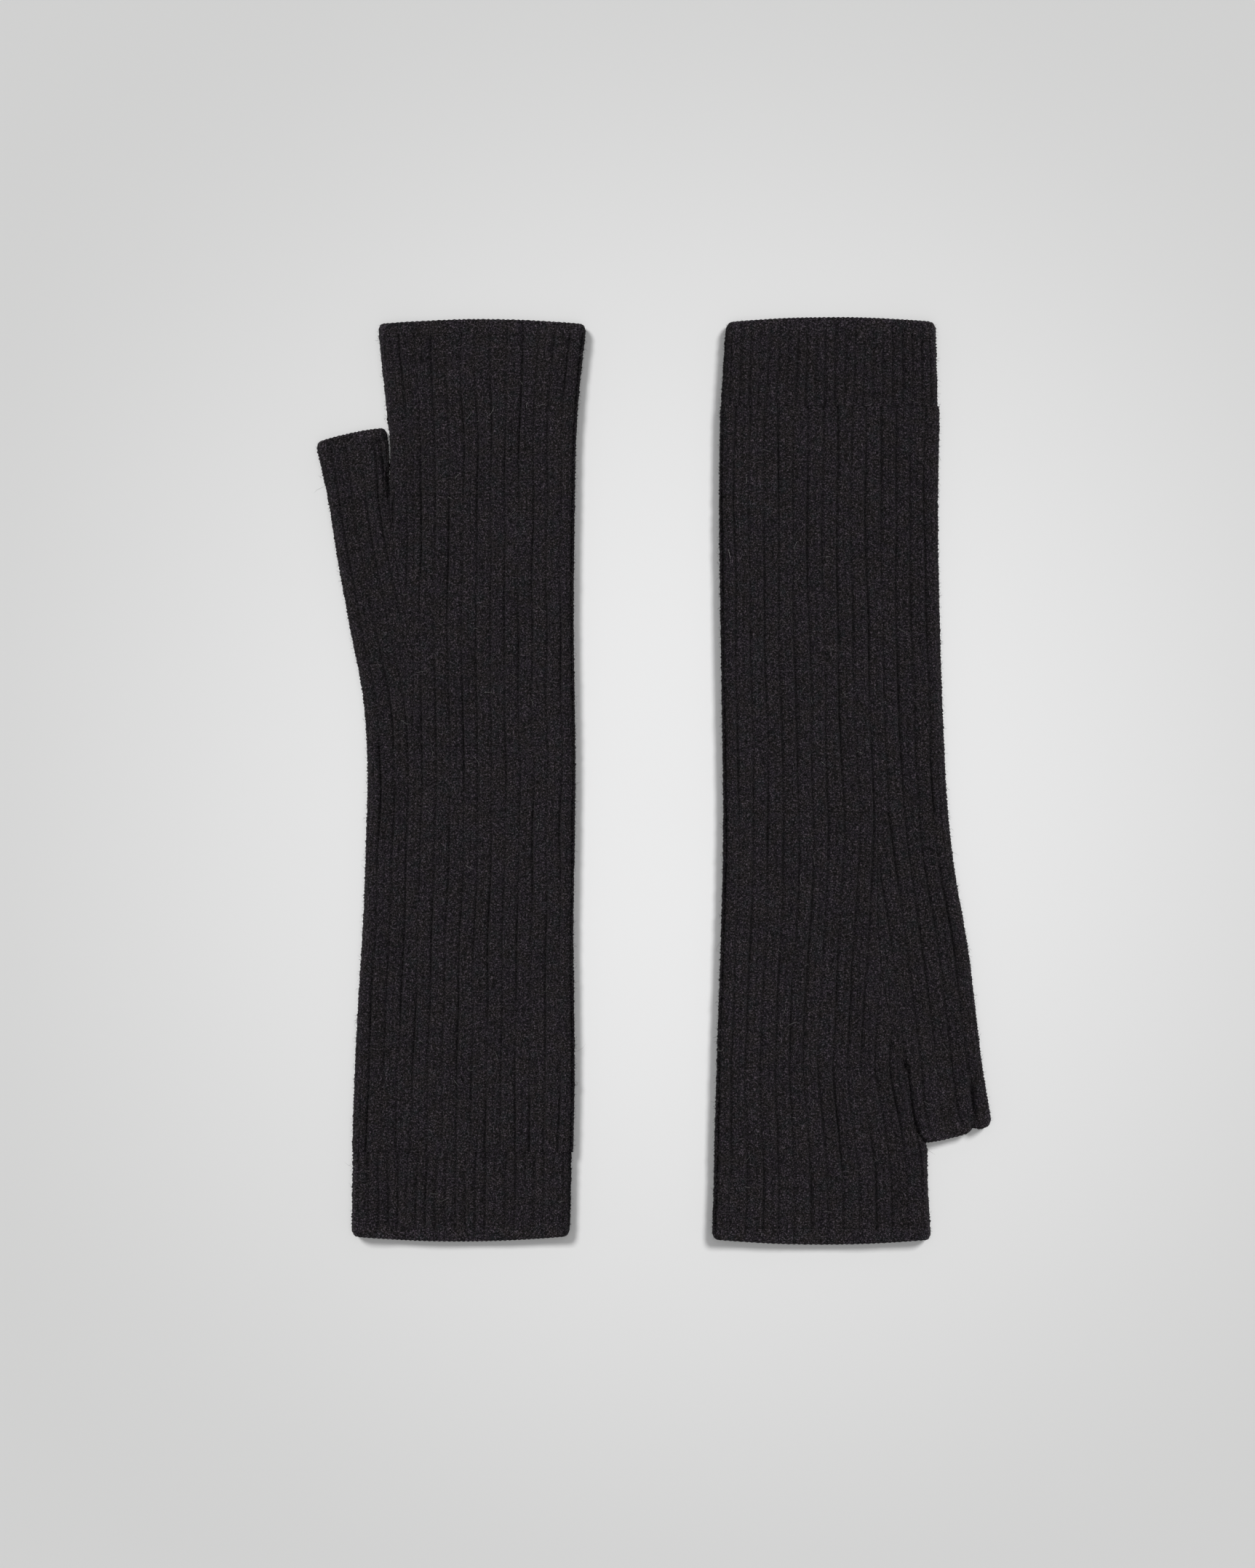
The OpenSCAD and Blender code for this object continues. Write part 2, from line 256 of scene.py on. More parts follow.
def ripple(p, q, noise, waves=7):
    """Smooth random field of about unit size: a sum of cosines in p and q with seeded directions
    and phases, whose features are some six units wide."""
    draw = np.random.default_rng(noise)
    heading, pace = draw.uniform(0, 2 * math.pi, waves), draw.uniform(0.6, 1.5, waves)
    start = draw.uniform(0, 2 * math.pi, waves)
    total = 0
    for i in range(waves):
        across = p * math.cos(heading[i]) + q * math.sin(heading[i])
        total = total + np.cos(pace[i] * across + start[i])
    return total / math.sqrt(waves / 2)


# One rib across: each line of points has its place in the rib as a share of it, its height in
# millimetres, its shift along the row in rows, which slants the stitches' legs, and how far every
# second point stands out. unevenness is how much the depth of the grooves varies.
WIDE_RIB = {
    "stitches": 3,
    "place": np.array([0, .06, .14, .30, .44, .50, .56, .70, .86, .94]),
    "height": np.array([-.98, -.42, .08, .08, .04, -.32, .04, .08, .08, -.42]),
    "shift": np.array([.50, .30, .10, -.30, .10, .30, .10, -.30, .10, .30]),
    "stand": np.array([.38, .20, .17, .08, .17, .14, .17, .08, .17, .20]),
    "unevenness": 0.34,
}


def rib_columns(rib, stitches):
    """Lines of points over both layers, from -stitches on the lower layer to stitches on the upper
    one, counted from the fold, which is in the middle of a rib. Each has its height, shift and
    stand, and the stitch count of the groove that is nearest."""
    reach = math.ceil(stitches / rib["stitches"])
    number = np.repeat(np.arange(-reach, reach + 2), len(rib["place"]))
    columns = {key: np.tile(rib[key], 2 * reach + 2) for key in ("place", "height", "shift", "stand")}
    columns["at"] = (number + columns["place"] - 0.5) * rib["stitches"]
    columns["groove"] = (number + np.round(columns["place"]) - 0.5) * rib["stitches"]
    inside = np.abs(columns["at"]) <= stitches + 1e-6
    return {key: value[inside] for key, value in columns.items()} | {"rib": rib}


def quarter(across, up):
    """Length of a quarter of an ellipse, to within a few per cent: that of a quarter circle whose
    radius is the root of the half axes' mean square."""
    return math.pi / 2 * np.sqrt((across**2 + up**2) / 2)


def layer(along, width, near, far):
    """Path across the upper layer of a flattened tube. A quarter of an ellipse rises from the
    outermost line of the fold, the flat follows, and a quarter of an ellipse goes down at the far
    border, where along is held. near and far are half axes. Returns the distance from the fold,
    the depth below the top, and the outward normal's parts towards the border and up."""
    flat = width - near[0] - far[0]
    phi = np.clip(along / quarter(*near), 0, 1) * math.pi / 2
    run = np.clip(along - quarter(*near), 0, flat)
    psi = (along - quarter(*near) - flat) / np.maximum(quarter(*far), 1e-6)
    psi = np.clip(psi, 0, 1) * math.pi / 2
    inwards = near[0] * (1 - np.cos(phi)) + run + far[0] * np.sin(psi)
    depth = near[1] * (1 - np.sin(phi)) + far[1] * (1 - np.cos(psi))
    side = np.where(psi > 0, far[1] * np.sin(psi), -near[1] * np.cos(phi))
    up = np.where(psi > 0, far[0] * np.cos(psi), near[0] * np.sin(phi))
    size = np.hypot(side, up) + 1e-9
    return inwards, depth, side / size, up / size


def path_length(width, near, far):
    """Length of layer's path from the fold to the far border."""
    return quarter(*near) + width - near[0] - far[0] + quarter(*far)


def bowed(glove, x, y):
    """y once the knit has drawn in at an opening: the ends of the hand opening and of the cuff lag
    behind their middle by BOW, as the square of the distance from the middle. The thumb's opening
    bulges by BULGE in its middle, and may have a notch."""
    for rows, amount, near in (("fingers", -BOW, (y - glove["tip"]) / 30 + 1),
                               ("cuff", BOW, 1 - y / 30)):
        low, high = curve(glove[rows], 1, y), curve(glove[rows], 2, y)
        off = (2 * x - low - high) / (high - low)
        y = y + amount * np.minimum(off**2, 1.2) * ease(near)
    thumb = glove["thumb"]
    low = curve(glove["sides"], 1, thumb["outer"])
    high = curve(glove["gusset"], 1, thumb["inner"])
    off = (2 * x - low - high) / (high - low)
    y = y + BULGE * np.maximum(1 - off**2, 0) * ease((y - thumb["outer"]) / 15 + 1)
    if "notch" in glove:
        middle, end, deep, half = glove["notch"]
        y = y - deep * np.exp(-((x - middle) / half)**2) * ease((y - end) / 9 + 1)
    return y


def knit_skin(glove, fold, border, rounding, stitch, columns, wall=0.0, fade=1.0):
    """Skin of a sheet of knit that wraps round one fold. Rows of points run from the border on the
    lower layer, round the fold, to the border on the upper layer. fold and border are each row's
    two side points, rounding is how high the border turns down, and stitch is the width of one
    stitch. A line of points keeps its stitch's distance from the fold, and is held on the border
    where the sheet is too narrow for it. With wall at 0 this is the outer skin, with its ribs and
    stitches, which fade scales. Otherwise it is the plain inner skin, that far inside. Returns the
    points, rows by columns by 3, and how deep each one lies in a groove, from 0 to 1."""
    across = border - fold
    width = np.hypot(across[:, :1], across[:, 1:])
    inward = across / width
    rounding, stitch = np.reshape(rounding, (-1, 1)), np.reshape(stitch, (-1, 1))
    far = (rounding * FOLD[0] / FOLD[1], rounding)
    reach = path_length(width, FOLD, far)
    upper, count = np.sign(columns["at"] + 1e-9)[None, :], np.abs(columns["at"])[None, :]
    near_x = fold[:, :1] + inward[:, :1] * count * stitch
    drift = STRAY * ripple(near_x / 4.5, fold[:, 1:] / 9.0, glove["noise"] + 3)
    free = ease(count / 3) * ease((reach / stitch - count) / 3)
    along = np.minimum(count * stitch + drift * free, reach)
    if wall:
        near_in = (FOLD[0] - wall, FOLD[1] - wall)
        far_in = (np.maximum(far[0] - wall, 0), np.maximum(far[1] - wall, 0))
        width_in = width - wall - np.minimum(far[0], wall)
        scale = path_length(width_in, near_in, far_in) / reach
        w, depth, _, _ = layer(along * scale, width_in, near_in, far_in)
        w, depth, side, up = w + wall, depth + wall, 0 * w, 0 * w
    else:
        w, depth, side, up = layer(along, width, FOLD, far)
    x = fold[:, :1] + inward[:, :1] * w
    y = fold[:, 1:] + inward[:, 1:] * w
    z = np.where(upper > 0, LOFT - depth, depth)

    # The upper layer sinks between its folds, and dips along the creases
    below_fork = np.minimum(y, glove["fork"])
    wide = np.minimum(x - curve(glove["sides"], 1, below_fork),
                      curve(glove["sides"], 2, below_fork) - x)
    own = np.minimum(w, width - w)
    split = ease((y - glove["fork"]) / 30 + 1)
    room = (1 - split) * ease(wide / SAG_ROOM) + split * ease(own / SAG_ROOM)
    sink = room * (SAG + BILLOW * ripple(x / 5.0, y / 7.0, glove["noise"] + 5))
    for x0, y0, x1, y1, deep, half in glove["creases"]:
        t = ((x - x0) * (x1 - x0) + (y - y0) * (y1 - y0)) / ((x1 - x0)**2 + (y1 - y0)**2)
        t = np.clip(t, 0, 1)
        off = np.hypot(x - x0 - t * (x1 - x0), y - y0 - t * (y1 - y0))
        sink = sink + deep * ease(0.15 + 2.5 * t) * np.exp(-(off / half)**2)
    z = z - sink * ease((z - 1.0) / (LOFT - 2.0))
    points = np.stack([x, bowed(glove, x, y), z], -1)
    if wall:
        return points, np.zeros(z.shape)

    open_side = 1 - ease((rounding - BORDER) / (FOLD[1] - BORDER))
    held = along > reach - 1e-6
    groove_x = fold[:, :1] + inward[:, :1] * np.abs(columns["groove"])[None, :] * stitch
    strength = ripple(groove_x / 2.2, fold[:, 1:] / 10.0, glove["noise"] + 7)
    strength = 0.95 + columns["rib"]["unevenness"] * strength
    height = columns["height"][None, :]
    height = np.where(height < -0.3, height * np.clip(strength, 0.45, 1.5), height)
    beat = np.where(np.arange(len(fold)) % 2 == 0, 1.0, -1.0)[:, None]
    tuft = np.random.default_rng(glove["noise"]).normal(0, TUFT, z.shape)
    height = (height + columns["stand"][None, :] * beat + tuft) * fade
    height = height * (1 - open_side * (1 - ease((reach - along) / 1.5)))
    height = np.where(held, -TUCK * (1 - open_side), height)
    ends = np.minimum(np.arange(len(fold)), np.arange(len(fold))[::-1])
    shift = columns["shift"][None, :] * ROW * ease(ends / 3)[:, None] * fade
    shift = np.where(held, 0, shift)
    forward = np.gradient(points, axis=0)
    forward = forward / (np.linalg.norm(forward, axis=2, keepdims=True) + 1e-9)
    normal = np.stack([inward[:, :1] * side, inward[:, 1:] * side, upper * up], -1)
    points = points + normal * height[..., None] + forward * shift[..., None]
    points[..., 2] = np.maximum(points[..., 2], 0.05)
    return points, np.clip((-height - 0.2) / 1.0, 0, 1)


def in_row(glove, points):
    """Points of a glove's own frame, in millimetres, as metres in the frame of the pair."""
    turned = np.asarray(points, float) * (glove["turn"], glove["turn"], 1) * MM
    return turned + (*glove["origin"], 0)


def mesh_piece(name, points, faces, uv, shades, material):
    """Object from points, quads and a UV for each corner of each quad. Points at one place are
    welded, a quad that loses a corner becomes a triangle, and one that loses two is left out.
    shades are named values, one for each point."""
    _, first, same = np.unique(np.round(points * 1e7).astype(np.int64), axis=0,
                               return_index=True, return_inverse=True)
    corners = same.ravel()[faces]
    kept = corners != np.roll(corners, -1, axis=1)
    whole = (kept.sum(1) > 2) & (corners[:, 0] != corners[:, 2]) & (corners[:, 1] != corners[:, 3])
    corners, kept, uv = corners[whole], kept[whole], uv[whole]
    sides = kept.sum(1)
    mesh = bpy.data.meshes.new(name)
    mesh.vertices.add(len(first))
    mesh.vertices.foreach_set("co", points[first].astype(np.float32).ravel())
    mesh.loops.add(int(sides.sum()))
    mesh.loops.foreach_set("vertex_index", corners[kept].astype(np.int32))
    mesh.polygons.add(len(sides))
    mesh.polygons.foreach_set("loop_start", (np.cumsum(sides) - sides).astype(np.int32))
    mesh.update(calc_edges=True)
    mesh.polygons.foreach_set("use_smooth", np.ones(len(sides), bool))
    layer_uv = mesh.uv_layers.new(name="stitches")
    layer_uv.data.foreach_set("uv", uv[kept].astype(np.float32).ravel())
    for shade, value in shades.items():
        mesh.attributes.new(shade, "FLOAT", "POINT").data.foreach_set(
            "value", value[first].astype(np.float32))
    mesh.materials.append(material)
    piece = bpy.data.objects.new(name, mesh)
    in_scene.link(piece)
    return piece


def knit_piece(name, glove, outer, inner, hollow, columns, material, lip=None, open_side=False):
    """Closed piece of knit. Its rows run along the outer skin, round the lip of an opening if
    there is one, and back along the inner skin, and the last row joins the first. A sheet that is
    open at its side is closed along both borders too."""
    rows = np.concatenate([outer, inner[::-1]] if lip is None else [outer, lip, inner[::-1]])
    index = np.arange(rows.shape[0] * rows.shape[1]).reshape(rows.shape[:2])
    after = np.roll(index, -1, axis=0)
    quads = np.stack([index[:, :-1], after[:, :-1], after[:, 1:], index[:, 1:]], -1).reshape(-1, 4)
    if open_side:
        n = len(outer)
        for column, order in ((0, [0, 1, 2, 3]), (-1, [3, 2, 1, 0])):
            out, back = index[:n, column], index[n:, column][::-1]
            strip = np.stack([out[:-1], back[:-1], back[1:], out[1:]], -1)
            quads = np.concatenate([quads, strip[:, order]])
    rises = outer[-1, 0, 1] > outer[0, 0, 1]
    fold_on_right = outer[0, len(outer[0]) // 2, 0] > outer[0, 0, 0]
    if rises != fold_on_right:
        quads = quads[:, ::-1]
    u = np.broadcast_to(columns["at"][None, :], index.shape)
    v = np.broadcast_to(np.arange(len(rows))[:, None] / 2, index.shape)
    uv = np.stack([u, v], -1).reshape(-1, 2)[quads]
    deep = np.zeros(index.shape)
    deep[:len(outer)] = hollow
    return mesh_piece(name, in_row(glove, rows.reshape(-1, 3)), quads, uv,
                      {"hollow": deep.ravel()}, material)


def noise_value(tree, coordinates, scale, detail, low, high, to_low, to_high, rough=0.5):
    """Noise on those coordinates, with its values from low to high spread over to_low to
    to_high."""
    noise = tree.nodes.new("ShaderNodeTexNoise")
    noise.inputs["Scale"].default_value = scale
    noise.inputs["Detail"].default_value = detail
    noise.inputs["Roughness"].default_value = rough
    tree.links.new(coordinates, noise.inputs["Vector"])
    spread = tree.nodes.new("ShaderNodeMapRange")
    spread.inputs["From Min"].default_value, spread.inputs["From Max"].default_value = low, high
    spread.inputs["To Min"].default_value, spread.inputs["To Max"].default_value = to_low, to_high
    tree.links.new(noise.outputs["Fac"], spread.inputs["Value"])
    return spread.outputs["Result"]


def mixed(tree, blend, factor, a, b):
    """Mix of two colours. factor, a and b are numbers, colours or outputs."""
    mix = tree.nodes.new("ShaderNodeMix")
    mix.data_type, mix.blend_type = "RGBA", blend
    for name, value in (("Factor", factor), ("A", a), ("B", b)):
        if isinstance(value, bpy.types.NodeSocket):
            tree.links.new(value, mix.inputs[name])
        else:
            mix.inputs[name].default_value = value
    return mix.outputs["Result"]


wool_group = bpy.data.node_groups.new("wool", "ShaderNodeTree")
for socket, kind in (("Yarn", "Color"), ("Fleck", "Color"), ("Fleck Share", "Float")):
    wool_group.interface.new_socket(socket, in_out="INPUT", socket_type="NodeSocket" + kind)
for socket, kind in (("Colour", "Color"), ("Fibre Height", "Float"), ("Roughness", "Float")):
    wool_group.interface.new_socket(socket, in_out="OUTPUT", socket_type="NodeSocket" + kind)
nodes, links = wool_group.nodes, wool_group.links
entry = nodes.new("NodeGroupInput")
leave = nodes.new("NodeGroupOutput")
where = nodes.new("ShaderNodeTexCoord").outputs["Object"]
# Patches under a centimetre wide lean purple or brown, with bluish green spots between them
cast = mixed(wool_group, "MIX", noise_value(wool_group, where, 130, 3, .42, .58, 0, 1),
             (1.02, 0.94, 1.20, 1), (1.06, 1.03, 0.84, 1))
cast = mixed(wool_group, "MIX", noise_value(wool_group, where, 210, 2, .55, .67, 0, .9), cast,
             (0.70, 1.12, 1.06, 1))
yarn = mixed(wool_group, "MULTIPLY", 1.0, entry.outputs["Yarn"], cast)
cloud = noise_value(wool_group, where, 240, 3, .3, .7, .86, 1.14)
yarn = mixed(wool_group, "MULTIPLY", 1.0, yarn, cloud)
# Fibre ends catch the light in flecks under half a millimetre wide, with dark gaps between them
fleck = noise_value(wool_group, where, 1900, 2, .50, .66, 0, 1, rough=.6)
share = nodes.new("ShaderNodeMath")
share.operation = "MULTIPLY"
links.new(fleck, share.inputs[0])
links.new(entry.outputs["Fleck Share"], share.inputs[1])
yarn = mixed(wool_group, "MIX", share.outputs["Value"], yarn, entry.outputs["Fleck"])
pit = noise_value(wool_group, where, 1500, 2, .40, .58, .0, 1.7, rough=.6)
yarn = mixed(wool_group, "MULTIPLY", 1.0, yarn, pit)
# Painted shade darkens the grooves between the ribs, but loops and fibres bridge them here and there
hollow = nodes.new("ShaderNodeAttribute")
hollow.attribute_name = "hollow"
groove_shade = nodes.new("ShaderNodeMath")
groove_shade.operation = "MULTIPLY"
links.new(hollow.outputs["Fac"], groove_shade.inputs[0])
links.new(noise_value(wool_group, where, 900, 2, .36, .58, .35, 1.0), groove_shade.inputs[1])
yarn = mixed(wool_group, "MIX", groove_shade.outputs["Value"], yarn, (0.0022, 0.0018, 0.0022, 1))
links.new(yarn, leave.inputs["Colour"])
links.new(noise_value(wool_group, where, 2600, 3, .25, .75, 0, 1, rough=.6),
          leave.inputs["Fibre Height"])
links.new(noise_value(wool_group, where, 800, 2, .3, .7, .86, 1), leave.inputs["Roughness"])


def wool(name, yarn_colour, fleck_colour, fleck_share, sheen):
    """Matt wool with a soft bloom of sheen, coloured by the wool group and bumped by its fibres."""
    material = bpy.data.materials.new(name)
    material.use_nodes = True
    nodes, links = material.node_tree.nodes, material.node_tree.links
    shader = nodes["Principled BSDF"]
    shader.inputs["Sheen Weight"].default_value = sheen
    shader.inputs["Sheen Roughness"].default_value = 0.5
    shader.inputs["Sheen Tint"].default_value = (0.85, 0.76, 0.85, 1)
    shader.inputs["Specular IOR Level"].default_value = 0.2
    fibres = nodes.new("ShaderNodeGroup")
    fibres.node_tree = wool_group
    fibres.inputs["Yarn"].default_value = yarn_colour
    fibres.inputs["Fleck"].default_value = fleck_colour
    fibres.inputs["Fleck Share"].default_value = fleck_share
    bump = nodes.new("ShaderNodeBump")
    bump.inputs["Strength"].default_value = 0.8
    bump.inputs["Distance"].default_value = 0.35 * MM
    links.new(fibres.outputs["Colour"], shader.inputs["Base Color"])
    links.new(fibres.outputs["Roughness"], shader.inputs["Roughness"])
    links.new(fibres.outputs["Fibre Height"], bump.inputs["Height"])
    links.new(bump.outputs["Normal"], shader.inputs["Normal"])
    return material


body_wool = wool("black_wool_rib", (0.0064, 0.0052, 0.0063, 1), (0.060, 0.049, 0.059, 1), 0.9, 0.02)

bloom_look = bpy.data.materials.new("wool_bloom")
bloom_look.use_nodes = True
tree = bloom_look.node_tree
shader = tree.nodes["Principled BSDF"]
tone = tree.nodes.new("ShaderNodeAttribute")
tone.attribute_name = "tone"
strand = mixed(tree, "MIX", tone.outputs["Fac"], (0.0105, 0.0087, 0.0105, 1), (0.36, 0.35, 0.34, 1))
where = tree.nodes.new("ShaderNodeTexCoord").outputs["Object"]
strand = mixed(tree, "MULTIPLY", 1.0, strand, noise_value(tree, where, 1500, 2, .3, .7, .6, 1.3))
tree.links.new(strand, shader.inputs["Base Color"])
tree.links.new(noise_value(tree, where, 900, 2, .3, .7, .6, .9), shader.inputs["Roughness"])
shader.inputs["Sheen Weight"].default_value = 0.1

BLOOM = {"upper": 0.42, "lower": 0.06}      # loose fibres to each square millimetre
LINT_SHARE = 0.004                # of the fibres, which are long and pale
ROOT_DEPTH = 0.15                 # how deep a fibre starts in the knit
THIRD = 2.0944                    # of a turn


def wool_bloom(name, glove, skin):
    """Loose fibres that stand off a skin of knit. Each starts inside it at a random place, leaves
    at a low angle and bends over, as a closed three-sided needle through four points."""
    draw = np.random.default_rng(glove["noise"] + len(name) + skin.shape[0] * skin.shape[1])
    a, b, c = skin[:-1, :-1], skin[1:, :-1], skin[:-1, 1:]
    cross = np.cross(b - a, c - a)
    area = np.linalg.norm(cross, axis=2)
    if cross[..., 2][a[..., 2] > LOFT / 2].sum() < 0:
        cross = -cross
    weight = area * np.where(a[..., 2] > 1.5, BLOOM["upper"], BLOOM["lower"])
    total = int(weight.sum())
    cell = draw.choice(weight.size, total, p=weight.ravel() / weight.sum())
    i, j = np.unravel_index(cell, weight.shape)
    s, t = draw.uniform(0, 1, (2, total, 1))
    root = a[i, j] + s * (b - a)[i, j] + t * (c - a)[i, j]
    normal = cross[i, j] / (area[i, j][:, None] + 1e-9)
    normal = normal * 0.5 + np.where(root[:, 2:] > LOFT / 2, 0.5, -0.5) * np.array([0, 0, 1.0])
    normal /= np.linalg.norm(normal, axis=1, keepdims=True) + 1e-9
    ahead = np.cross(normal, np.cross(np.array([0, 1.0, 0]), normal))
    ahead /= np.linalg.norm(ahead, axis=1, keepdims=True) + 1e-9
    aside = np.cross(normal, ahead)
    lint = draw.uniform(0, 1, total) < LINT_SHARE
    length = np.where(lint, draw.uniform(3, 7, total), draw.uniform(0.5, 2.2, total))[:, None]
    heading = draw.uniform(0, 2 * math.pi, (total, 1))
    bend = draw.normal(0, 0.7, (total, 1))
    lift = draw.uniform(0.05, 0.30, (total, 1))
    radius = np.where(lint, 0.045, draw.uniform(0.028, 0.05, total))[:, None]
    spine = [root - ROOT_DEPTH * normal]
    for step, rise in ((0.25, 1.0), (0.4, 0.55), (0.35, -0.2)):
        level = ahead * np.cos(heading) + aside * np.sin(heading)
        spine.append(spine[-1] + length * step * level + normal * lift * rise
                     + (normal * ROOT_DEPTH if len(spine) == 1 else 0))
        heading = heading + bend
    ring = [(math.cos(turn), math.sin(turn)) for turn in (0, THIRD, 2 * THIRD)]
    level = ahead * np.cos(heading - 2 * bend) + aside * np.sin(heading - 2 * bend)
    beside = np.cross(normal, level)
    rings = [spine[k] + size * radius * (normal * u + beside * v)
             for k, size in ((1, 1.0), (2, 0.8)) for u, v in ring]
    points = np.stack([spine[0], *rings, spine[3]], 1)
    points[..., 2] = np.maximum(points[..., 2], 0.02)
    one = np.array([(0, 2, 1, 1), (0, 3, 2, 2), (0, 1, 3, 3), (1, 2, 5, 4), (2, 3, 6, 5),
                    (3, 1, 4, 6), (4, 5, 7, 7), (5, 6, 7, 7), (6, 4, 7, 7)])
    faces = (np.arange(total)[:, None, None] * 8 + one[None]).reshape(-1, 4)
    pale = np.where(lint, draw.uniform(0.35, 1.0, total), draw.uniform(0.0, 0.16, total))
    return mesh_piece(name, in_row(glove, points.reshape(-1, 3)), faces,
                      np.zeros((len(faces), 4, 2)), {"tone": np.repeat(pale, 8)}, bloom_look)


def side_points(rows, y):
    """Thumb-side and little-finger-side points of an outline at each y."""
    return (np.stack([curve(rows, 1, y), y], -1), np.stack([curve(rows, 2, y), y], -1))


def stands_for(node):
    """A piece of knit and its bloom take the place of a CAD node, which is hidden."""
    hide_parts(node)


def rows_between(start, end):
    """Rows of points half a stitch apart, as near as they go, from start to end."""
    return np.linspace(start, end, round(abs(end - start) / (ROW / 2)) + 1)


def steady_stitch(glove, rows, y, stitches):
    """Width of a stitch where that many go across a layer of an outline: from the mean of its
    widths at STEADY distances from y, so that the ribs run on evenly past a step in it."""
    total = 0
    for distance in STEADY:
        thumb_side, little_side = side_points(glove[rows], y + distance)
        total = total + little_side[:, 0] - thumb_side[:, 0]
    return path_length(total / len(STEADY), FOLD, FOLD) / stitches


def corner_inset(distance):
    """How far an outline goes in at that distance from its end: along a quarter circle."""
    gap = np.clip(CORNER - distance, 0, CORNER)
    return CORNER - np.sqrt(CORNER**2 - gap**2)


def tube_skins(glove, rows, y_outer, y_inner, columns, stitches, fade=1.0, corner=None):
    """Outer and inner skin of a tube between the two edges of an outline. corner is the end that
    the outline's corners are rounded towards. Returns both, the hollows and the girth of each
    row."""
    skins, pitches = [], []
    for y, wall in ((y_outer, 0), (y_inner, WALL)):
        thumb_side, little_side = side_points(glove[rows], y)
        if corner is not None:
            inset = corner_inset(np.abs(y - corner))
            thumb_side[:, 0] += inset
            little_side[:, 0] -= inset
        pitches.append(steady_stitch(glove, rows, y, stitches))
        skins.append(knit_skin(glove, little_side, thumb_side, np.full(len(y), FOLD[1]),
                               pitches[-1], columns, wall=wall, fade=1.0 if wall else fade))
    (outer, hollow), (inner, _) = skins
    return outer, inner, hollow, 2 * pitches[0] * stitches


def shorten(piece, side):
    """A piece on the forearm rides with the forearm, on a mesh of its own."""
    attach(piece, side + "_forearm")
    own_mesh(piece)


body_columns = rib_columns(WIDE_RIB, SLEEVE_STITCHES + 1)
y_outer = rows_between(CUFF_END, SLEEVE_TOP)
y_inner = np.linspace(CUFF_END, SLEEVE_TOP, INNER_ROWS)
for side, glove in GLOVES.items():
    outer, inner, hollow, girth = tube_skins(glove, "sides", y_outer, y_inner, body_columns,
                                             SLEEVE_STITCHES)
    sleeve = knit_piece(side + "_sleeve_knit", glove, outer, inner, hollow, body_columns, body_wool)
    bloom = wool_bloom(side + "_sleeve_bloom", glove, outer)
    for piece in (sleeve, bloom):
        shorten(piece, side)
    stands_for(side + "_sleeve")


# ---- Cuff ------------------------------------------------------------------------------------
# The cuff is the same tube in one-by-one rib, twice as fine, which grips the forearm. It starts
# at the cast-on edge with a plain tubular welt, and can be pushed up the arm.

CUFF_RIB = {
    "stitches": 2,
    "place": np.array([0, .10, .24, .50, .76, .90]),
    "height": np.array([-.88, -.38, .08, .10, .08, -.38]),
    "shift": np.array([.50, .30, .10, -.30, .10, .30]),
    "stand": np.array([.32, .18, .17, .08, .17, .18]),
    "unevenness": 0.20,
}
WELT = 6.0                        # height of the plain welt at the cuff's and the hand's edge
LIP_POINTS = 5                    # rows of points round the lip of an opening
LOOP_BUMP = 0.16                  # how much the loops along an edge stand out


def welt_fade(y, start, end):
    """Ribs fade to a quarter from the start of a welt to half way to its end."""
    return (1 - 0.75 * ease((y - start) / (end - start) * 2))[:, None]


def lip(outer, inner, columns):
    """Rows of points round the edge of an opening: half an ellipse from the end of the outer skin
    to the end of the inner one, pushed forward by half the wall and bumped by the edge's loops."""
    forward = outer[-1] - outer[-4]
    forward = forward / (np.linalg.norm(forward, axis=1, keepdims=True) + 1e-9)
    middle, half = (outer[-1] + inner[-1]) / 2, (outer[-1] - inner[-1]) / 2
    reach = WALL / 2 * (1 + LOOP_BUMP * np.cos(2 * math.pi * columns["at"]))[:, None]
    turns = np.linspace(0, math.pi, LIP_POINTS + 2)[1:-1]
    return np.stack([middle + half * math.cos(t) + forward * reach * math.sin(t) for t in turns])


cuff_wool = wool("black_wool_cuff_rib", (0.0062, 0.0050, 0.0061, 1), (0.059, 0.048, 0.058, 1), 0.9,
                 0.02)
welt_wool = wool("black_wool_welt", (0.0067, 0.0055, 0.0066, 1), (0.062, 0.051, 0.061, 1), 0.9,
                 0.025)
cuff_columns = rib_columns(CUFF_RIB, SLEEVE_STITCHES + 1)
for side, glove in GLOVES.items():
    outer, inner, hollow, girth = tube_skins(
        glove, "cuff", rows_between(WELT, CUFF_END), np.linspace(WELT, CUFF_END, 8), cuff_columns,
        SLEEVE_STITCHES)
    cuff = knit_piece(side + "_cuff_rib_knit", glove, outer, inner, hollow, cuff_columns, cuff_wool)
    bloom = wool_bloom(side + "_cuff_rib_bloom", glove, outer)
    stands_for(side + "_cuff_rib")

    y = rows_between(WELT, WALL / 2)
    outer, inner, hollow, _ = tube_skins(
        glove, "cuff", y, y, cuff_columns, SLEEVE_STITCHES, fade=welt_fade(y, WELT, 0), corner=0.0)
    welt = knit_piece(side + "_cuff_welt_knit", glove, outer, inner, hollow, cuff_columns,
                      welt_wool, lip=lip(outer, inner, cuff_columns))
    welt_bloom = wool_bloom(side + "_cuff_welt_bloom", glove, outer)
    stands_for(side + "_cuff_welt")
    for piece in (cuff, bloom, welt, welt_bloom):
        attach(piece, side + "_cuff")


# ---- Palm ------------------------------------------------------------------------------------
# From the wrist to the fork of the thumb the same rib goes on round the palm and the back of the
# hand. It is open at the thumb side, where it meets the thumb's knit along the gusset line, and
# new ribs come out of that line as the hand narrows.

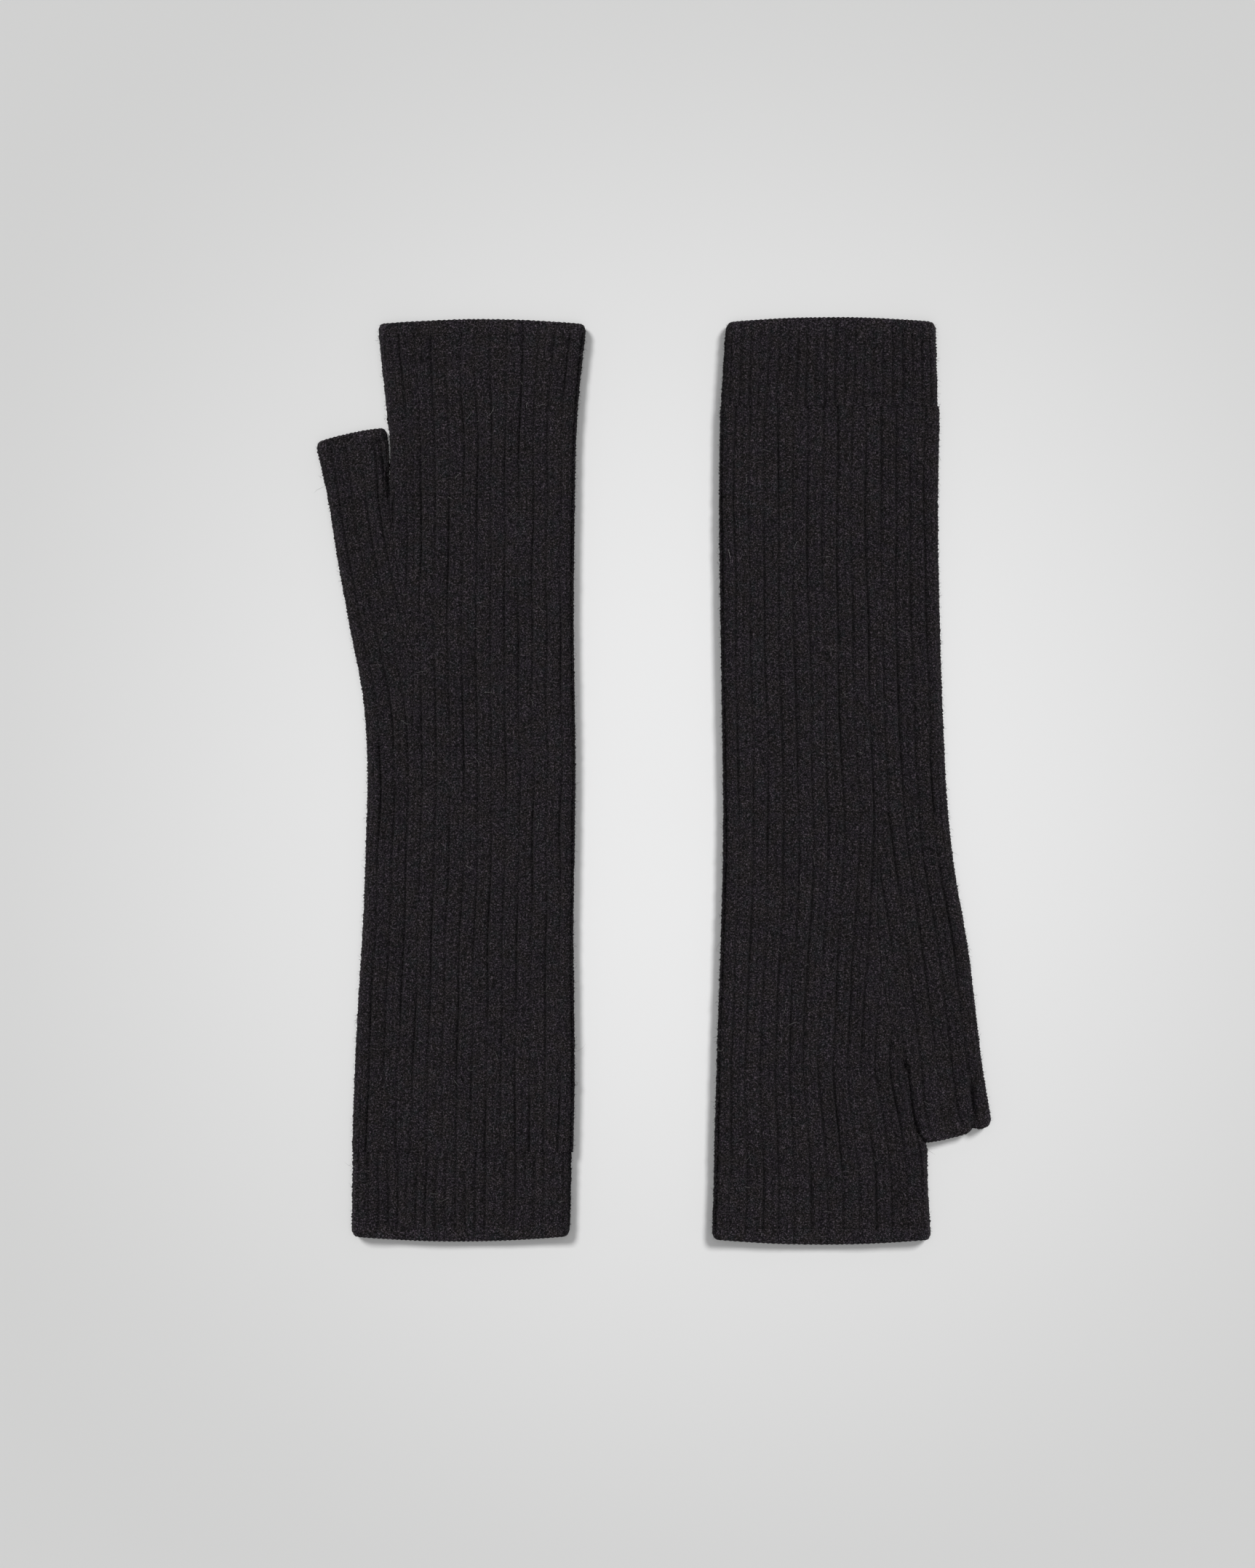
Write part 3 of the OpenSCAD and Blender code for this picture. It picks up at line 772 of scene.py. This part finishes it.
HAND_STITCHES = 43                # in each layer, once the thumb has left
PALM_STITCHES = 48.5              # the most in each layer of the palm, before the gusset widens
BORDER_RISE = 4.0                 # stretch below the fork over which the border becomes a fold


def border_round(glove, y):
    """How high the border along the gusset line turns down: BORDER, and more and more along the
    last BORDER_RISE to the fork, where it has become a whole fold."""
    return BORDER + (FOLD[1] - BORDER) * ease((y - glove["fork"]) / BORDER_RISE + 1)


def stitch_width(glove, y, at_fork):
    """Width of a stitch on the way from the sleeve's at the wrist to at_fork at the fork."""
    at_wrist = steady_stitch(glove, "sides", np.array([SLEEVE_TOP]), SLEEVE_STITCHES)
    share = ease((y - SLEEVE_TOP) / (glove["fork"] - SLEEVE_TOP))
    return at_wrist + (at_fork - at_wrist) * share


def bend_at_wrist(piece):
    """A piece's placement is baked into its mesh."""
    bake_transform(piece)


palm_columns = rib_columns(WIDE_RIB, PALM_STITCHES)
for side, glove in GLOVES.items():
    y = rows_between(SLEEVE_TOP, glove["fork"])
    gusset_line = np.stack([curve(glove["gusset"], 1, y), y], -1)
    little_side = np.stack([curve(glove["sides"], 2, y), y], -1)
    stitch = stitch_width(glove, y, steady_stitch(glove, "fingers", y[-1:], HAND_STITCHES))
    rounding = border_round(glove, y)
    outer, hollow = knit_skin(glove, little_side, gusset_line, rounding, stitch, palm_columns)
    inner, _ = knit_skin(glove, little_side, gusset_line, rounding, stitch, palm_columns, wall=WALL)
    palm = knit_piece(side + "_palm_knit", glove, outer, inner, hollow, palm_columns, body_wool,
                      open_side=True)
    bloom = wool_bloom(side + "_palm_bloom", glove, outer)
    stands_for(side + "_palm")
    for piece in (palm, bloom):
        bend_at_wrist(piece)


# ---- Thumb gusset ----------------------------------------------------------------------------
# The gusset is knitted with the palm and widens from the wrist to the fork. Its ribs follow the
# thumb, so they lean outwards and end at the gusset line one after the other.

gusset_wool = wool("black_wool_gusset", (0.0064, 0.0053, 0.0062, 1), (0.060, 0.049, 0.058, 1), 0.9,
                   0.02)
THUMB_STITCHES = 18               # in each layer of the thumb's tube
GUSSET_STITCHES = 20.5            # the most in each layer of the gusset
TILT_START = 215.0                # where the rows begin to tilt towards the thumb's opening
gusset_columns = rib_columns(WIDE_RIB, GUSSET_STITCHES)


def thumb_points(glove, y, inset=0):
    """Outer and inner side points of the thumb's rows. y is that of a row's inner point. A row
    tilts more and more, until the last one lies along the thumb's opening."""
    inner_end = glove["thumb"]["inner"]
    share = ease((y - TILT_START) / (inner_end - TILT_START))
    tilt = (inner_end - glove["thumb"]["outer"]) * share
    outside = np.stack([curve(glove["sides"], 1, y - tilt) + inset, y - tilt], -1)
    inside = np.stack([curve(glove["gusset"], 1, y) - inset, y], -1)
    return outside, inside


for side, glove in GLOVES.items():
    y = rows_between(SLEEVE_TOP, glove["fork"])
    outside, inside = thumb_points(glove, y)
    width = np.hypot(*(inside - outside).T)
    stitch = stitch_width(glove, y, path_length(width[-1], FOLD, FOLD) / THUMB_STITCHES)
    rounding = border_round(glove, y)
    outer, hollow = knit_skin(glove, outside, inside, rounding, stitch, gusset_columns)
    inner, _ = knit_skin(glove, outside, inside, rounding, stitch, gusset_columns, wall=WALL)
    gusset = knit_piece(side + "_thumb_gusset_knit", glove, outer, inner, hollow, gusset_columns,
                        gusset_wool, open_side=True)
    bloom = wool_bloom(side + "_thumb_gusset_bloom", glove, outer)
    stands_for(side + "_thumb_gusset")
    for piece in (gusset, bloom):
        bend_at_wrist(piece)


# ---- Finger band and hand welt ---------------------------------------------------------------
# Above the fork the palm's rib closes into a tube round the four fingers, and widens a little to
# the hand's opening, which a plain welt finishes. The welt is bound off loosely.

hand_columns = rib_columns(WIDE_RIB, HAND_STITCHES + 2)
for side, glove in GLOVES.items():
    start, end = glove["fork"], glove["tip"] - WELT
    outer, inner, hollow, girth = tube_skins(
        glove, "fingers", rows_between(start, end), np.linspace(start, end, 12), hand_columns,
        HAND_STITCHES)
    band = knit_piece(side + "_finger_band_knit", glove, outer, inner, hollow, hand_columns,
                      body_wool)
    bloom = wool_bloom(side + "_finger_band_bloom", glove, outer)
    stands_for(side + "_finger_band")

    y = rows_between(end, glove["tip"] - WALL / 2)
    outer, inner, hollow, _ = tube_skins(
        glove, "fingers", y, y, hand_columns, HAND_STITCHES,
        fade=welt_fade(y, end, glove["tip"]), corner=glove["tip"])
    welt = knit_piece(side + "_hand_welt_knit", glove, outer, inner, hollow, hand_columns,
                      welt_wool, lip=lip(outer, inner, hand_columns))
    welt_bloom = wool_bloom(side + "_hand_welt_bloom", glove, outer)
    stands_for(side + "_hand_welt")
    for piece in (band, bloom, welt, welt_bloom):
        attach(piece, side + "_hand")


# ---- Thumb -----------------------------------------------------------------------------------
# The gusset's ribs go on round the thumb as a short tube, which ends below the thumb's tip in a
# narrow welt. The tube leans away from the hand.

THUMB_WELT = 5.0
thumb_columns = rib_columns(WIDE_RIB, THUMB_STITCHES)


def thumb_tube(name, glove, y, material, fade=1.0, inset=0, has_lip=False):
    """A stretch of the thumb's tube whose rows have their inner points at y, with its bloom. Returns
    both and the girth of each row."""
    outside, inside = thumb_points(glove, y, inset)
    stitch = path_length(np.hypot(*(inside - outside).T), FOLD, FOLD) / THUMB_STITCHES
    rounding = np.full(len(y), FOLD[1])
    outer, hollow = knit_skin(glove, outside, inside, rounding, stitch, thumb_columns, fade=fade)
    inner, _ = knit_skin(glove, outside, inside, rounding, stitch, thumb_columns, wall=WALL)
    edge = lip(outer, inner, thumb_columns) if has_lip else None
    knit = knit_piece(name + "_knit", glove, outer, inner, hollow, thumb_columns, material, lip=edge)
    return knit, wool_bloom(name + "_bloom", glove, outer), 2 * stitch * THUMB_STITCHES


for side, glove in GLOVES.items():
    end = glove["thumb"]["inner"]
    start, middle = glove["fork"], end - THUMB_WELT
    tube, bloom, girth = thumb_tube(side + "_thumb", glove, rows_between(start, middle), body_wool)
    stands_for(side + "_thumb")
    y = rows_between(middle, end - WALL / 2)
    welt, welt_bloom, _ = thumb_tube(side + "_thumb_welt", glove, y, welt_wool,
                                     fade=welt_fade(y, middle, end), inset=corner_inset(end - y),
                                     has_lip=True)
    stands_for(side + "_thumb_welt")
    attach(welt, side + "_thumb")
    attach(welt_bloom, side + "_thumb")

    outside, inside = thumb_points(glove, np.array([start]))
    for piece in (tube, bloom):
        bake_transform(piece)


# ---- Linked seams ----------------------------------------------------------------------------
# Each glove is knitted flat and joined along the little-finger edge by a seam of linked loops. The
# seam lies inside the fold, so only the openings show it. It is a chain of small loops of the
# same yarn.

SEAM = 0.7                        # radius of the chain
SEAM_GAP = 0.1                    # between the chain and the wall of the fold
SEAM_SWAY = 0.15
SEAM_TAPER = 0.8                  # length of the pointed end of a chain
SEAM_SIDES, SEAM_STEP = 8, 0.5
seam_wool = wool("black_wool_linking", (0.0070, 0.0058, 0.0071, 1), (0.050, 0.042, 0.050, 1), 0.8,
                 0.03)


def linked_chain(name, glove, start, end):
    """Chain of loops inside the little-finger fold, which is the palm's below the fork and the
    finger band's above it: a tube whose radius swells once each row of stitches and whose middle
    sways once in two rows, closed to a point at both ends."""
    y = np.linspace(start, end, round((end - start) / SEAM_STEP) + 1)
    beat = 2 * math.pi * y / ROW
    ends = ease((y - start) / SEAM_TAPER) * ease((end - y) / SEAM_TAPER)
    radius = SEAM * (0.82 + 0.18 * np.cos(beat)) * ends
    fold = np.where(y < glove["fork"], curve(glove["sides"], 2, y), curve(glove["fingers"], 2, y))
    middle = fold - WALL - SEAM - SEAM_GAP + SEAM_SWAY * np.sin(beat / 2)
    turn = np.linspace(0, 2 * math.pi, SEAM_SIDES, endpoint=False)
    x = middle[:, None] + radius[:, None] * np.cos(turn)
    z = LOFT / 2 + radius[:, None] * np.sin(turn)
    points = np.stack([x, np.broadcast_to(y[:, None], x.shape), z], -1)
    index = np.arange(len(y) * SEAM_SIDES).reshape(len(y), SEAM_SIDES)
    beside = np.roll(index, -1, axis=1)
    quads = np.stack([index[:-1], index[1:], beside[1:], beside[:-1]], -1).reshape(-1, 4)
    uv = np.stack([np.broadcast_to(turn, index.shape), np.broadcast_to(y[:, None], index.shape)],
                  -1).reshape(-1, 2)[quads]
    # Painted shade: the chain is darkened a little, as it lies inside the fold
    fold_shade = np.full(index.size, 0.3)
    return mesh_piece(name, in_row(glove, points.reshape(-1, 3)), quads, uv, {"hollow": fold_shade},
                      seam_wool)


for side, glove in GLOVES.items():
    seam = linked_chain(side + "_sleeve_seam_chain", glove, CUFF_END, SLEEVE_TOP)
    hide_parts(side + "_sleeve_seam")
    shorten(seam, side)
    seam = linked_chain(side + "_hand_seam_chain", glove, SLEEVE_TOP, glove["tip"] - WELT)
    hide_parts(side + "_hand_seam")
    bend_at_wrist(seam)


# ---- Light links -----------------------------------------------------------------------------
# Each key light shines on its own glove and paper half: the glove's meshes join that light's
# collection.

for piece in list(bpy.data.objects):
    for side, lit in lit_by.items():
        if piece.type == "MESH" and piece.name.startswith(side) and piece.name not in lit.objects:
            lit.objects.link(piece)
